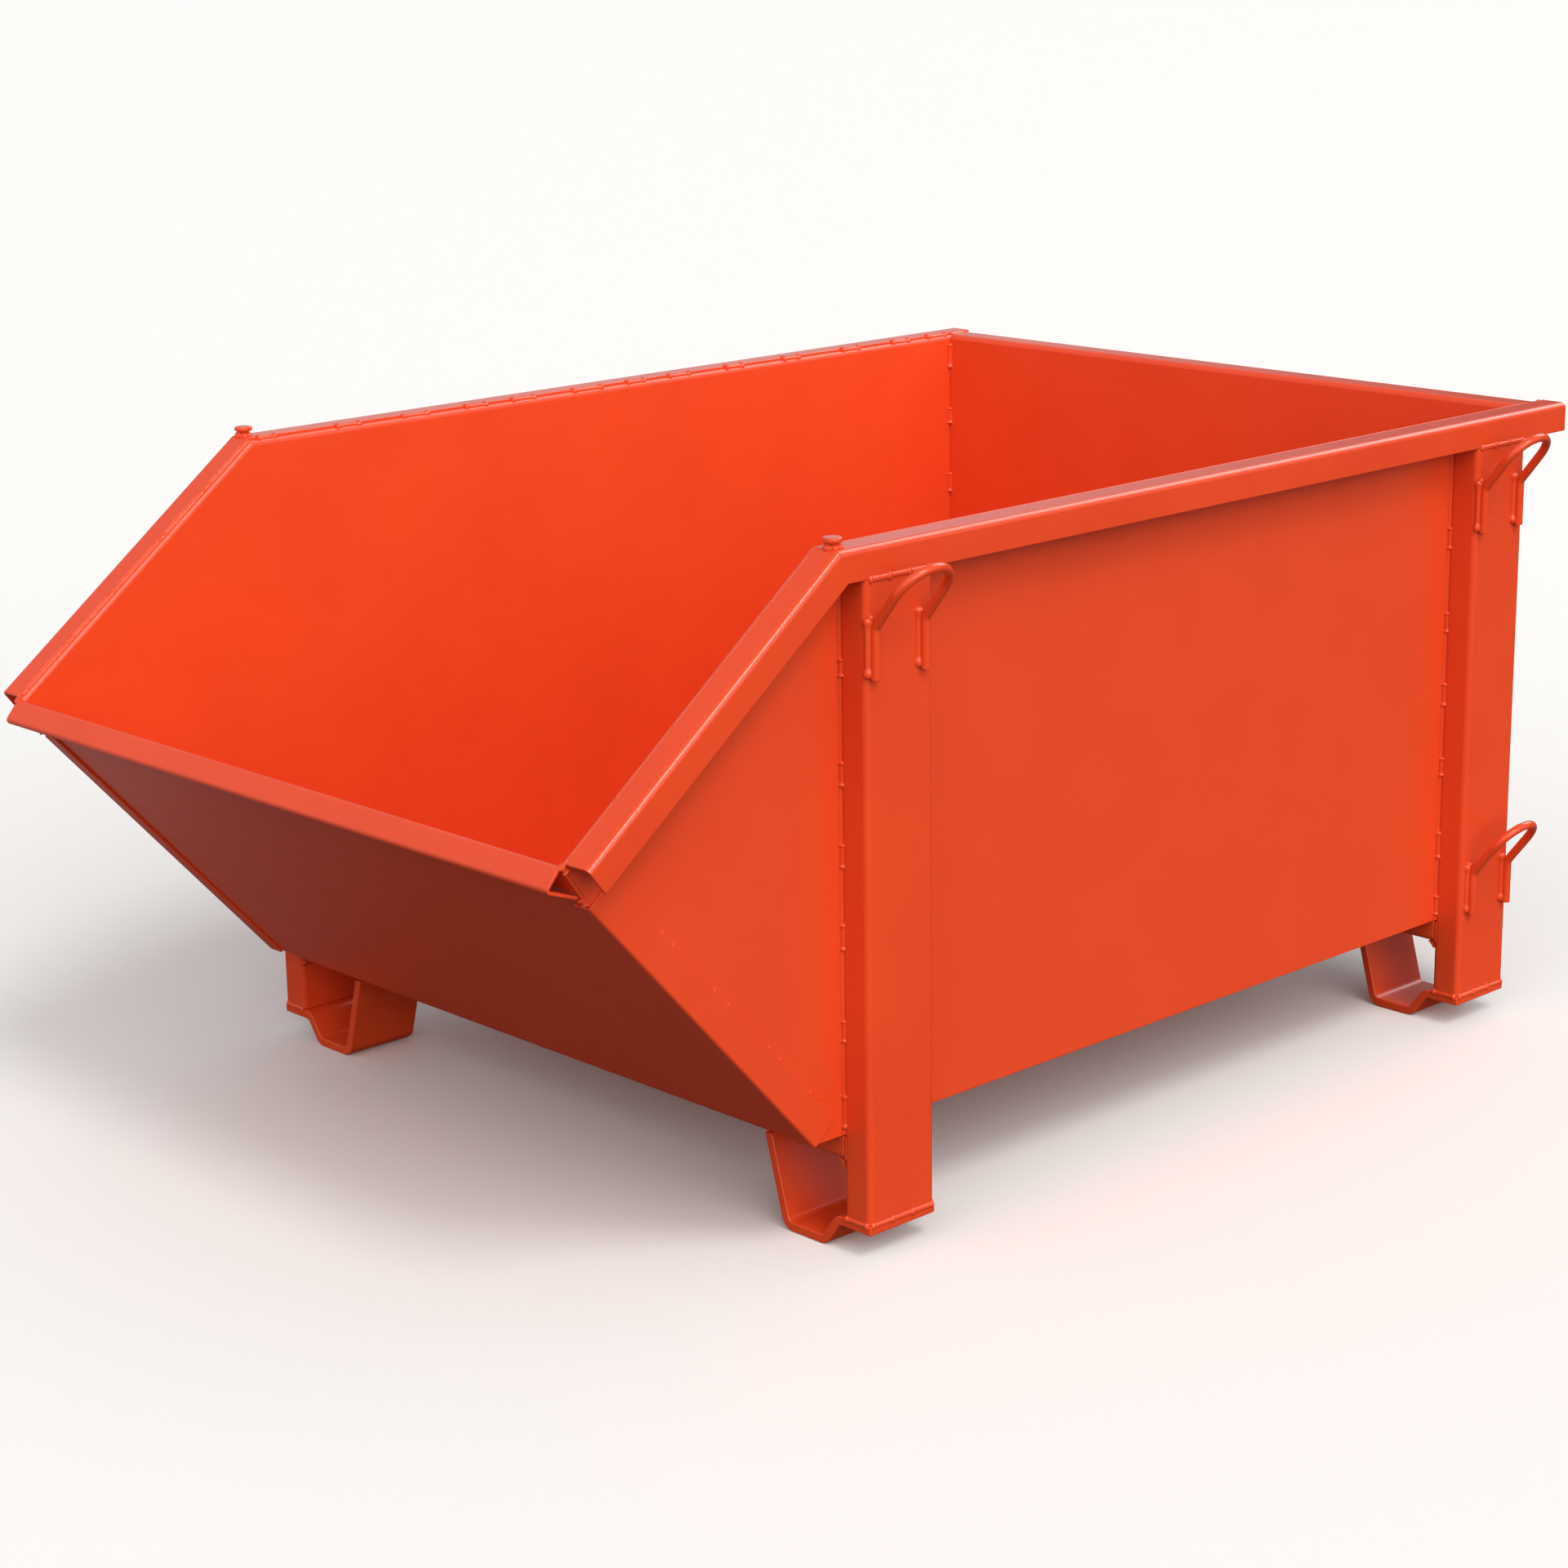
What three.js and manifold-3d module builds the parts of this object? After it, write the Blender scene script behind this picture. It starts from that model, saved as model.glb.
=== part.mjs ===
// Stackable open-fronted waste container of welded, painted steel sheet and sections.
// Millimetres, +Z up. The open chute faces -Y, and the part stands on Z = 0.

import * as THREE from 'three';
import { mergeVertices } from 'three/addons/utils/BufferGeometryUtils.js';
import Module from 'manifold-3d';

// Driving dimensions. Places along Y start at the front face of the front posts.

const FIT_GAP = 0.3;              // clearance left between pieces that are welded together
const RIM_TOP = 882;              // ground to the top of the side rims
const OUTER_WIDTH = 1200;         // over the rims and the posts
const FLOOR_HEIGHT = 152;         // ground to the underside of the floor
const SHEET = 4;                  // tub sheet thickness
const SHEET_BEND = 4;             // inside radius of the bends in the tub sheets
const HEM_FLAT = 0.7;             // flat part of the bent hems, up to the toe of the rim
const BACK_PLACE = 1343;          // inner face of the back sheet
const TIP_AHEAD = 48;             // floor's front corner, ahead of the front posts
const FRONT_ANGLE = 47.8;         // front sheet above the floor, degrees

const RIM_LEG = 40;               // both legs of the rim angle
const RIM_WALL = 4;
const RIM_BEND = 4;               // inside radius of the rim angle
const RIM_PAST_BACK = 6;          // side rims run past the back rim
const BACK_RIM_DROP = 2;          // back rim below the side rims
const BEND_AHEAD = 40;            // where the side rims turn down, ahead of the front posts
const SLOPE_ANGLE = 37.4;         // sloped rims below the level, degrees
const SLOPE_SHORT_OF_LIP = 1;     // sloped rims end this far behind the lip's upper fold

const LIP_BACK = 57;              // folded lip: width of its back, in line with the slope on top
const LIP_BACK_ANGLE = 55;        // back above the level, degrees
const LIP_FACE = 39;              // width of its face
const LIP_FACE_ANGLE = 49;        // face below the level, degrees
const LIP_BEND = 2;               // inside radius of the lip's folds

const EDGE_WALL = 3;              // angle welded over each front corner of the tub
const EDGE_SIDE_LEG = 44;
const EDGE_UNDER_LEG = 28;
const EDGE_BEND = 0.8;            // inside radius, small enough to seat on the corner
const EDGE_TOP_SHORT = 12;        // the angle stops this far below the lip's return flange

const POST_DEPTH = 112;           // rectangular tube, along Y
const POST_WALL = 4;
const POST_CORNER = 8;            // outside radius of the tube
const POST_AHEAD_OF_BACK = 40;    // rear posts' rear face to the back sheet

const FOOT_STRIP = 12;            // thickness of the bent foot strip
const FOOT_BEND = 8;              // inside radius of its bends
const FOOT_DROP = 33;             // ground to the underside of the strip below the post
const FOOT_PAST_POST = 9;         // level part reaches this far past the post
const FOOT_SLOPE_RUN = 24;        // sloped length, measured level
const FOOT_BASE = 74;             // length of the strip that stands on the ground
const FOOT_LEG_LEAN = 15.4;       // leg from the upright, degrees

const CROSS_DEPTH = 32;           // height of the channels below the floor
const CROSS_WALL = 4;

const EYE_BAR = 12;               // round bar of the lifting eyes
const EYE_SPACING = 83;           // between the two legs, centre to centre
const EYE_LEG = 62;               // straight leg along the post
const EYE_ARM = 50;               // straight arm from the leg to the round end
const EYE_RISE_ANGLE = 52;        // arms above the level, degrees
const EYE_BEND = 14;              // radius of the bend from leg to arm, at the bar's axis
const UPPER_EYE_AHEAD = 5;        // middle of the upper eyes ahead of the post's middle
const LOWER_EYE_BEHIND = 4;       // middle of the lower eyes behind the post's middle
const UPPER_EYE_DROP = 118;       // rim underside to the lower end of the upper eyes
const LOWER_EYE_HEIGHT = 169;     // ground to the lower end of the lower eyes

const STUD_NECK = 13;             // stop stud: diameter of the neck
const STUD_NECK_HEIGHT = 7;
const STUD_HEAD = 24;             // diameter of the head
const STUD_HEAD_HEIGHT = 6;
const STUD_CHAMFER = 1.5;
const STUD_BEHIND_BEND = 8;       // stud axis behind the turn of the rim

// Counts of flat facets

const BEND_STEPS = 6;
const CORNER_STEPS = 5;
const BAR_SIDES = 10;
const BAR_STEPS = 38;
const STUD_SIDES = 24;

// Paint, as it looks in daylight

const SHEET_PAINT = { color: 0xe8492a, roughness: 0.42, metalness: 0 };
const SECTION_PAINT = { color: 0xe6472b, roughness: 0.38, metalness: 0 };
const BAR_PAINT = { color: 0xdf4128, roughness: 0.36, metalness: 0 };

// Directions and places worked out from the driving dimensions

const X_AXIS = new THREE.Vector3(1, 0, 0);
const Y_AXIS = new THREE.Vector3(0, 1, 0);
const Z_AXIS = new THREE.Vector3(0, 0, 1);

const slope = THREE.MathUtils.degToRad(SLOPE_ANGLE);
const front = THREE.MathUtils.degToRad(FRONT_ANGLE);
const lipRise = THREE.MathUtils.degToRad(LIP_BACK_ANGLE);
const lipFall = THREE.MathUtils.degToRad(LIP_FACE_ANGLE);

const rimOuter = OUTER_WIDTH / 2;
const rimToe = rimOuter - RIM_LEG;
const hemReach = SHEET + SHEET_BEND + HEM_FLAT;
const tubInner = rimToe - FIT_GAP - hemReach;
const tubOuter = tubInner + SHEET;
const betweenSides = tubInner - FIT_GAP;
const rimUnderside = RIM_TOP - RIM_LEG;
const floorTop = FLOOR_HEIGHT + SHEET;
const backOuter = BACK_PLACE + SHEET;
const backRimTop = RIM_TOP - BACK_RIM_DROP;
const backRimToe = BACK_PLACE + hemReach + FIT_GAP;
const backRimOuter = backRimToe + RIM_LEG;
const rimRear = backRimOuter + RIM_PAST_BACK;
const rearPostPlace = BACK_PLACE - POST_AHEAD_OF_BACK - POST_DEPTH;

// Points in the side view: x stands for Y, y stands for Z

const point = (y, z) => new THREE.Vector2(y, z);
const along = (from, direction, distance) => from.clone().addScaledVector(direction, distance);

// Where a line from one point meets a line from another
function crossing(from, direction, other, otherDirection) {
  const gap = other.clone().sub(from);
  return along(from, direction, gap.cross(otherDirection) / direction.cross(otherDirection));
}

const tip = point(-TIP_AHEAD, FLOOR_HEIGHT);
const rimTurn = point(-BEND_AHEAD, RIM_TOP);
const slopeDown = point(-Math.cos(slope), -Math.sin(slope));
const slopeUpright = point(-Math.sin(slope), Math.cos(slope));
const turnMitre = point(-Math.tan(slope / 2), 1);
const frontUp = point(-Math.cos(front), Math.sin(front));
const frontInward = point(Math.sin(front), Math.cos(front));
const lipUp = point(-Math.cos(lipRise), Math.sin(lipRise));
const lipInward = point(Math.sin(lipRise), Math.cos(lipRise));
const lipDown = point(-Math.cos(lipFall), -Math.sin(lipFall));

const floorMitre = SHEET * Math.tan(front / 2);
const frontInnerFoot = point(tip.x + floorMitre, floorTop);
const lipBase = crossing(frontInnerFoot, frontUp, along(rimTurn, lipUp, -LIP_BACK), slopeDown);
const lipTop = along(lipBase, lipUp, LIP_BACK);
const returnMeet = along(lipBase, frontInward, -SHEET);
const edgeLength = returnMeet.clone().sub(tip).dot(frontUp) - EDGE_TOP_SHORT;

// Solids

const wasm = await Module();
wasm.setup();

// Turns a closed geometry into a solid that can be cut and joined
function toSolid(geometry) {
  const bare = geometry.clone();
  bare.deleteAttribute('normal');
  bare.deleteAttribute('uv');
  const merged = mergeVertices(bare);
  return new wasm.Manifold(new wasm.Mesh({
    numProp: 3,
    vertProperties: new Float32Array(merged.attributes.position.array),
    triVerts: new Uint32Array(merged.index.array),
  }));
}

function toGeometry(solid) {
  const mesh = solid.getMesh();
  const geometry = new THREE.BufferGeometry();
  geometry.setAttribute('position', new THREE.BufferAttribute(mesh.vertProperties, 3));
  geometry.setIndex(new THREE.BufferAttribute(mesh.triVerts, 1));
  return geometry;
}

// Pushes a flat outline along the direction square to `across` and `up`
function sweep(shape, length, origin, across, up) {
  const geometry = new THREE.ExtrudeGeometry(shape, { depth: length, bevelEnabled: false });
  const forward = across.clone().cross(up);
  return geometry.applyMatrix4(new THREE.Matrix4().makeBasis(across, up, forward).setPosition(origin));
}

// Side-view outline pushed along X
function sideSweep(shape, fromX, toX) {
  return sweep(shape, toX - fromX, new THREE.Vector3(fromX, 0, 0), Y_AXIS, Z_AXIS);
}

// Section carried forwards from one slanting cut to the next. Each cut is a point of the
// side view, where the section's height is zero, and the step for each unit of height.
function runThrough(section, cuts) {
  const runs = cuts.length - 1;
  const geometry = new THREE.ExtrudeGeometry(section, { depth: runs, steps: runs, bevelEnabled: false });
  const { position } = geometry.attributes;
  for (let i = 0; i < position.count; i++) {
    const [place, step] = cuts[Math.round(position.getZ(i))];
    const moved = along(place, step, position.getY(i));
    position.setXYZ(i, position.getX(i), moved.x, moved.y);
  }
  return geometry;
}

// The same piece for the other side of the container
function mirrored(geometry) {
  const copy = geometry.index ? geometry.toNonIndexed() : geometry.clone();
  copy.scale(-1, 1, 1);
  for (const { array, itemSize } of Object.values(copy.attributes)) {
    for (let start = 0; start < array.length; start += 3 * itemSize) {
      const second = array.slice(start + itemSize, start + 2 * itemSize);
      array.copyWithin(start + itemSize, start + 2 * itemSize, start + 3 * itemSize);
      array.set(second, start + 2 * itemSize);
    }
  }
  return copy;
}

// Outline of a flat strip with round bends. The path is the line of one face, drawn with
// sharp corners, and the other face lies to its left. The far face can start set back.
function bentStrip(path, wall, insideRadius, farSetBack = 0) {
  const near = [];
  const far = [];
  const addStation = (place, normal) => {
    near.push(place);
    far.push(along(place, normal, wall));
  };
  const directions = path.slice(1).map((end, i) => end.clone().sub(path[i]).normalize());
  const normals = directions.map((direction) => point(-direction.y, direction.x));
  addStation(path[0], normals[0]);
  for (let i = 1; i < directions.length; i++) {
    const turn = Math.atan2(directions[i - 1].cross(directions[i]), directions[i - 1].dot(directions[i]));
    const radius = turn > 0 ? insideRadius + wall : insideRadius;
    const toCentre = Math.sign(turn) * radius;
    const start = along(path[i], directions[i - 1], -radius * Math.tan(Math.abs(turn) / 2));
    const centre = along(start, normals[i - 1], toCentre);
    for (let step = 0; step <= BEND_STEPS; step++) {
      const normal = normals[i - 1].clone().rotateAround(point(0, 0), (turn * step) / BEND_STEPS);
      addStation(along(centre, normal, -toCentre), normal);
    }
  }
  addStation(path[path.length - 1], normals[normals.length - 1]);
  far[0].addScaledVector(directions[0], -farSetBack);
  return new THREE.Shape([...near, ...far.reverse()]);
}

function roundedRectangle(width, depth, radius) {
  const corners = [[1, 1], [-1, 1], [-1, -1], [1, -1]];
  const points = [];
  corners.forEach(([signX, signY], quarter) => {
    const centre = point(signX * (width / 2 - radius), signY * (depth / 2 - radius));
    for (let step = 0; step <= CORNER_STEPS; step++) {
      const angle = (quarter + step / CORNER_STEPS) * (Math.PI / 2);
      points.push(along(centre, point(Math.cos(angle), Math.sin(angle)), radius));
    }
  });
  return points;
}

// The assembly

const container = new THREE.Group();

function addPiece(name, geometry, paint, x = 0, y = 0, z = 0) {
  const mesh = new THREE.Mesh(geometry, new THREE.MeshStandardMaterial(paint));
  mesh.name = name;
  mesh.position.set(x, y, z);
  container.add(mesh);
  return mesh;
}

// A right-hand piece and its mirror image on the left
function addPair(name, geometry, paint, x = 0, y = 0, z = 0) {
  addPiece(`${name}_right`, geometry, paint, x, y, z);
  addPiece(`${name}_left`, mirrored(geometry), paint, -x, y, z);
}

// Side sheets: a flat plate whose top edge is bent outwards as a narrow hem, which turns
// down along the slope and ends behind the lip
function sideSheet() {
  const plateDrop = SHEET + SHEET_BEND;
  const behindLip = along(lipTop, lipInward, FIT_GAP);
  const belowReturn = along(returnMeet, frontUp, -FIT_GAP);
  const plate = new THREE.Shape([
    tip,
    point(backOuter, FLOOR_HEIGHT),
    point(backOuter, RIM_TOP - plateDrop),
    along(rimTurn, turnMitre, -plateDrop),
    crossing(behindLip, lipUp, along(rimTurn, slopeUpright, -plateDrop), slopeDown),
    along(belowReturn, frontInward, SHEET + FIT_GAP),
    belowReturn,
  ]);
  const section = bentStrip([
    point(tubInner + hemReach, 0),
    point(tubInner, 0),
    point(tubInner, -2 * plateDrop),
  ], SHEET, SHEET_BEND);
  const lipCut = lipUp.clone().divideScalar(lipUp.dot(slopeUpright));
  const hem = runThrough(section, [
    [point(backRimToe - FIT_GAP, RIM_TOP), point(0, 1)],
    [rimTurn, turnMitre],
    [crossing(behindLip, lipUp, rimTurn, slopeDown), lipCut],
  ]);
  return toGeometry(toSolid(sideSweep(plate, tubInner, tubOuter)).add(toSolid(hem)));
}

// Back sheet: upright plate with the same hem, bent to the rear
function backSheet() {
  const outline = bentStrip([
    point(BACK_PLACE + hemReach, backRimTop),
    point(BACK_PLACE, backRimTop),
    point(BACK_PLACE, FLOOR_HEIGHT),
  ], SHEET, SHEET_BEND);
  return sideSweep(outline, -betweenSides, betweenSides);
}

// Floor sheet, mitred against the front sheet
function floorSheet() {
  const rear = BACK_PLACE - FIT_GAP;
  const outline = new THREE.Shape([
    point(tip.x + FIT_GAP, FLOOR_HEIGHT),
    point(rear, FLOOR_HEIGHT),
    point(rear, floorTop),
    point(frontInnerFoot.x + FIT_GAP, floorTop),
  ]);
  return sideSweep(outline, -betweenSides, betweenSides);
}

// Front sheet: rises from the floor to the lip, where it is folded forwards, down and
// back under itself into a three-cornered hollow that is open at both ends. The lip
// covers the ends of the side sheets.
function frontSheet() {
  const lipFront = along(lipTop, lipDown, LIP_FACE);
  const returnBack = returnMeet.clone().sub(lipFront).normalize();
  const meetAngle = Math.acos(-returnBack.dot(frontUp));
  const endShort = SHEET / Math.tan(meetAngle) + FIT_GAP / Math.sin(meetAngle);
  const returnEnd = along(returnMeet, returnBack, -endShort);
  const path = [frontInnerFoot, lipBase, lipTop, lipFront, returnEnd];
  const outline = bentStrip(path, SHEET, LIP_BEND, floorMitre);
  const lipBlock = new THREE.Shape([
    along(lipBase, frontInward, LIP_BACK),
    along(lipTop, frontInward, LIP_BACK),
    along(lipTop, frontInward, -2 * LIP_BACK),
    along(lipBase, frontInward, -2 * LIP_BACK),
  ]);
  const tub = toSolid(sideSweep(outline, -betweenSides, betweenSides));
  const lip = toSolid(sideSweep(outline, -tubOuter, tubOuter));
  return toGeometry(tub.add(lip.intersect(toSolid(sideSweep(lipBlock, -tubOuter, tubOuter)))));
}

// Edge angles: fold over the joint of side sheet and front sheet
function edgeAngle() {
  const seat = tubOuter + FIT_GAP;
  const outline = bentStrip([
    point(seat, EDGE_SIDE_LEG - EDGE_WALL),
    point(seat, -FIT_GAP),
    point(seat + EDGE_WALL - EDGE_UNDER_LEG, -FIT_GAP),
  ], EDGE_WALL, EDGE_BEND);
  const inward = new THREE.Vector3(0, frontInward.x, frontInward.y);
  return sweep(outline, edgeLength, new THREE.Vector3(0, tip.x, tip.y), X_AXIS, inward);
}

// Rims: a bent angle along each side, level and then sloped, and one across the back
const rimSection = bentStrip([
  point(rimOuter, -RIM_LEG),
  point(rimOuter, 0),
  point(rimToe, 0),
], RIM_WALL, RIM_BEND);
const mitreShort = FIT_GAP / 2 / Math.cos(slope / 2);

function levelRim() {
  return runThrough(rimSection, [
    [point(rimRear, RIM_TOP), point(0, 1)],
    [point(rimTurn.x + mitreShort, RIM_TOP), turnMitre],
  ]);
}

function slopedRim() {
  return runThrough(rimSection, [
    [along(rimTurn, slopeDown, mitreShort), turnMitre],
    [along(lipTop, slopeDown, -SLOPE_SHORT_OF_LIP), slopeUpright],
  ]);
}

function backRim() {
  const outline = bentStrip([
    point(backRimOuter, backRimTop - RIM_LEG),
    point(backRimOuter, backRimTop),
    point(backRimToe, backRimTop),
  ], RIM_WALL, RIM_BEND);
  const reach = rimToe - FIT_GAP;
  return sideSweep(outline, -reach, reach);
}

// Posts: rectangular tube from the foot strip to the underside of the rim
const postInner = tubOuter + FIT_GAP;
const postWidth = rimOuter - postInner;
const postFoot = FOOT_DROP + FOOT_STRIP + FIT_GAP;
const postHead = rimUnderside - FIT_GAP;

function post() {
  const shape = new THREE.Shape(roundedRectangle(postWidth, POST_DEPTH, POST_CORNER));
  const hollow = [postWidth - 2 * POST_WALL, POST_DEPTH - 2 * POST_WALL, POST_CORNER - POST_WALL];
  shape.holes.push(new THREE.Path(roundedRectangle(...hollow)));
  return sweep(shape, postHead - postFoot, new THREE.Vector3(), X_AXIS, Y_AXIS);
}

// Feet: a strip bent from the end of the post down to the ground and back up to the
// cross member
function foot() {
  const lean = THREE.MathUtils.degToRad(FOOT_LEG_LEAN);
  const seatEnd = postInner - FOOT_PAST_POST;
  const baseStart = seatEnd - FOOT_SLOPE_RUN;
  const legFoot = baseStart - FOOT_BASE;
  const legTop = FLOOR_HEIGHT - CROSS_DEPTH - FIT_GAP;
  const legShift = legTop * Math.tan(lean);
  const outline = bentStrip([
    point(legFoot - legShift, legTop),
    point(legFoot, 0),
    point(baseStart, 0),
    point(seatEnd, FOOT_DROP),
    point(rimOuter, FOOT_DROP),
  ], FOOT_STRIP, FOOT_BEND, -FOOT_STRIP * Math.tan(lean));
  return sweep(outline, POST_DEPTH, new THREE.Vector3(0, POST_DEPTH, 0), X_AXIS, Z_AXIS);
}

// Cross members: channels with their open side up against the floor, post to post
function crossMember() {
  const top = FLOOR_HEIGHT - FIT_GAP;
  const bottom = FLOOR_HEIGHT - CROSS_DEPTH;
  const outline = bentStrip([
    point(0, top),
    point(0, bottom),
    point(POST_DEPTH, bottom),
    point(POST_DEPTH, top),
  ], CROSS_WALL, CROSS_WALL);
  return sideSweep(outline, -tubOuter, tubOuter);
}

// Lifting eyes: round bar, two legs welded to the post and a loop bent out and up
function liftingEye() {
  const radius = EYE_SPACING / 2;
  const rise = THREE.MathUtils.degToRad(EYE_RISE_ANGLE);
  const arm = new THREE.Vector3(Math.cos(rise), 0, Math.sin(rise));
  const bendTrim = EYE_BEND * Math.tan((Math.PI / 2 - rise) / 2);
  const legStart = (y) => new THREE.Vector3(0, y, 0);
  const legTop = (y) => new THREE.Vector3(0, y, EYE_LEG - bendTrim);
  const bendPoint = (y) => new THREE.Vector3(0, y, EYE_LEG);
  const armPoint = (y, distance) => bendPoint(y).addScaledVector(arm, distance);
  const roundEnd = [];
  for (let step = 0; step <= 2 * BEND_STEPS; step++) {
    const angle = (Math.PI * step) / (2 * BEND_STEPS);
    roundEnd.push(armPoint(-radius * Math.cos(angle), EYE_ARM + radius * Math.sin(angle)));
  }
  const path = new THREE.CurvePath();
  path.add(new THREE.LineCurve3(legStart(-radius), legTop(-radius)));
  path.add(new THREE.QuadraticBezierCurve3(legTop(-radius), bendPoint(-radius), armPoint(-radius, bendTrim)));
  path.add(new THREE.LineCurve3(armPoint(-radius, bendTrim), armPoint(-radius, EYE_ARM)));
  path.add(new THREE.CatmullRomCurve3(roundEnd));
  path.add(new THREE.LineCurve3(armPoint(radius, EYE_ARM), armPoint(radius, bendTrim)));
  path.add(new THREE.QuadraticBezierCurve3(armPoint(radius, bendTrim), bendPoint(radius), legTop(radius)));
  path.add(new THREE.LineCurve3(legTop(radius), legStart(radius)));
  const section = [];
  for (let side = 0; side < BAR_SIDES; side++) {
    const angle = (2 * Math.PI * side) / BAR_SIDES;
    section.push(point(Math.cos(angle), Math.sin(angle)).multiplyScalar(EYE_BAR / 2));
  }
  const shape = new THREE.Shape(section);
  return new THREE.ExtrudeGeometry(shape, { steps: BAR_STEPS, extrudePath: path, bevelEnabled: false });
}

// Stop studs: mushroom-headed studs at the turn of the rims, which keep a stacked
// container from sliding forwards
function stopStud() {
  const neck = STUD_NECK / 2;
  const head = STUD_HEAD / 2;
  const top = STUD_NECK_HEIGHT + STUD_HEAD_HEIGHT;
  const profile = [
    point(0, 0),
    point(neck, 0),
    point(neck, STUD_NECK_HEIGHT),
    point(head - STUD_CHAMFER, STUD_NECK_HEIGHT),
    point(head, STUD_NECK_HEIGHT + STUD_CHAMFER),
    point(head, top - STUD_CHAMFER),
    point(head - STUD_CHAMFER, top),
    point(0, top),
  ];
  return new THREE.LatheGeometry(profile, STUD_SIDES).rotateX(Math.PI / 2);
}

// Tub

addPair('side_sheet', sideSheet(), SHEET_PAINT);
addPiece('back_sheet', backSheet(), SHEET_PAINT);
addPiece('floor_sheet', floorSheet(), SHEET_PAINT);
const frontMesh = addPiece('front_sheet', frontSheet(), SHEET_PAINT);
addPair('edge_angle', edgeAngle(), SHEET_PAINT);

// Rims

addPair('rim_level', levelRim(), SECTION_PAINT);
addPair('rim_sloped', slopedRim(), SECTION_PAINT);
addPiece('rim_back', backRim(), SECTION_PAINT);

// Posts, feet, cross members and upper lifting eyes

const postAcross = postInner + postWidth / 2;
const eyeAxis = rimOuter + FIT_GAP + EYE_BAR / 2;
const upperEyeFoot = rimUnderside - UPPER_EYE_DROP;

for (const [end, place] of [['front', 0], ['rear', rearPostPlace]]) {
  const middle = place + POST_DEPTH / 2;
  addPair(`post_${end}`, post(), SECTION_PAINT, postAcross, middle, postFoot);
  addPair(`foot_${end}`, foot(), SECTION_PAINT, 0, place, 0);
  addPiece(`cross_member_${end}`, crossMember(), SECTION_PAINT, 0, place, 0);
  addPair(`upper_eye_${end}`, liftingEye(), BAR_PAINT, eyeAxis, middle - UPPER_EYE_AHEAD, upperEyeFoot);
}

// Lower lifting eyes, on the rear posts only

const lowerEyePlace = rearPostPlace + POST_DEPTH / 2 + LOWER_EYE_BEHIND;
addPair('lower_eye_rear', liftingEye(), BAR_PAINT, eyeAxis, lowerEyePlace, LOWER_EYE_HEIGHT);

// Stop studs

const studAcross = (rimOuter + rimToe) / 2;
addPair('stop_stud', stopStud(), BAR_PAINT, studAcross, rimTurn.x + STUD_BEHIND_BEND, RIM_TOP + FIT_GAP);

// The origin lies on the ground, half way along the overall length

frontMesh.geometry.computeBoundingBox();
container.position.y = -(rimRear + frontMesh.geometry.boundingBox.min.y) / 2;

export default container;
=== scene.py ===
# Stackable open-fronted waste container in vermilion enamel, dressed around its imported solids.
# Metres, +Z up. The chute opens towards -Y, and the right-hand side lies towards +X.

import random
from math import cos, pi, radians, sin, tan

import bpy
from mathutils import Matrix, Vector


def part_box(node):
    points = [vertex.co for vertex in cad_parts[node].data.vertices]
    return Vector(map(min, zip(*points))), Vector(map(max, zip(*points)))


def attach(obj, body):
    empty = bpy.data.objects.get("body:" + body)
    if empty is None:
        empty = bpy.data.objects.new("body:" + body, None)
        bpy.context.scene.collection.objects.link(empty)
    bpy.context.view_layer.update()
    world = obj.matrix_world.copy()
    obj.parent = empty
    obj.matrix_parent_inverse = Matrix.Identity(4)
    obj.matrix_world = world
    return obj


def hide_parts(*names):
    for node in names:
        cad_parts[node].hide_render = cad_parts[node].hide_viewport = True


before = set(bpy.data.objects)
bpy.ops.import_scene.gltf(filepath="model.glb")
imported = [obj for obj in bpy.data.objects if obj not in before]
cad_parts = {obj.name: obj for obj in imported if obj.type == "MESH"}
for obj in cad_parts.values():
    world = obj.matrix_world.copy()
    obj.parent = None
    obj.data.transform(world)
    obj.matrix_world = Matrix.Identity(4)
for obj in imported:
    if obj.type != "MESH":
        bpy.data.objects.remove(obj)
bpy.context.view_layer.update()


# Tub
# Five sheets of 4 mm steel, sheared and folded on a brake, then sprayed with gloss enamel over
# primer. Shears leave a crisp edge that the paint rounds off, so every cut edge gets a small
# radius. The left hem lies a little below its rim, and the right one is flush.

SHEET = 0.004
SHEET_EDGE = 0.0009        # radius of a cut edge under its paint
SLOPE_ANGLE = radians(37.4)
BEND_AHEAD = 0.040         # where hems and rims turn down the slope, ahead of the front posts
TURN_SHARPNESS = 18        # degrees, less than the turn and more than the facets of a fold
HEM_DEPTH = 0.0085         # the hem's flat part and its fold
HEM_DROP = 0.003
DRIFT_SIZE = 0.18          # patches where the coat is thicker or thinner
PASS_SIZE = 0.045          # from one pass of the spray gun to the next
WAVE_SIZE = 0.24           # slow waves that a welded sheet keeps
SAME_PLACE = 0.00001       # vertices nearer to each other than this are one
SIDES = (("right", 1), ("left", -1))

rim_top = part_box("rim_level_right")[1].z
turn = Vector((0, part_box("post_front_right")[0].y - BEND_AHEAD, rim_top))
slope_upright = Vector((0, -sin(SLOPE_ANGLE), cos(SLOPE_ANGLE)))


def linear(code):
    channels = [int(code[start:start + 2], 16) / 255 for start in (1, 3, 5)]
    levels = [c / 12.92 if c <= 0.04045 else ((c + 0.055) / 1.055) ** 2.4 for c in channels]
    return (*levels, 1.0)


def node(tree, kind, **settings):
    """A new shader node. A setting is a property of the node, or an input's link or constant."""
    made = tree.nodes.new("ShaderNode" + kind)
    for name, value in settings.items():
        if hasattr(made, name):
            setattr(made, name, value)
        elif isinstance(value, bpy.types.NodeSocket):
            tree.links.new(value, made.inputs[name.replace("_", " ")])
        else:
            made.inputs[name.replace("_", " ")].default_value = value
    return made


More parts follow.
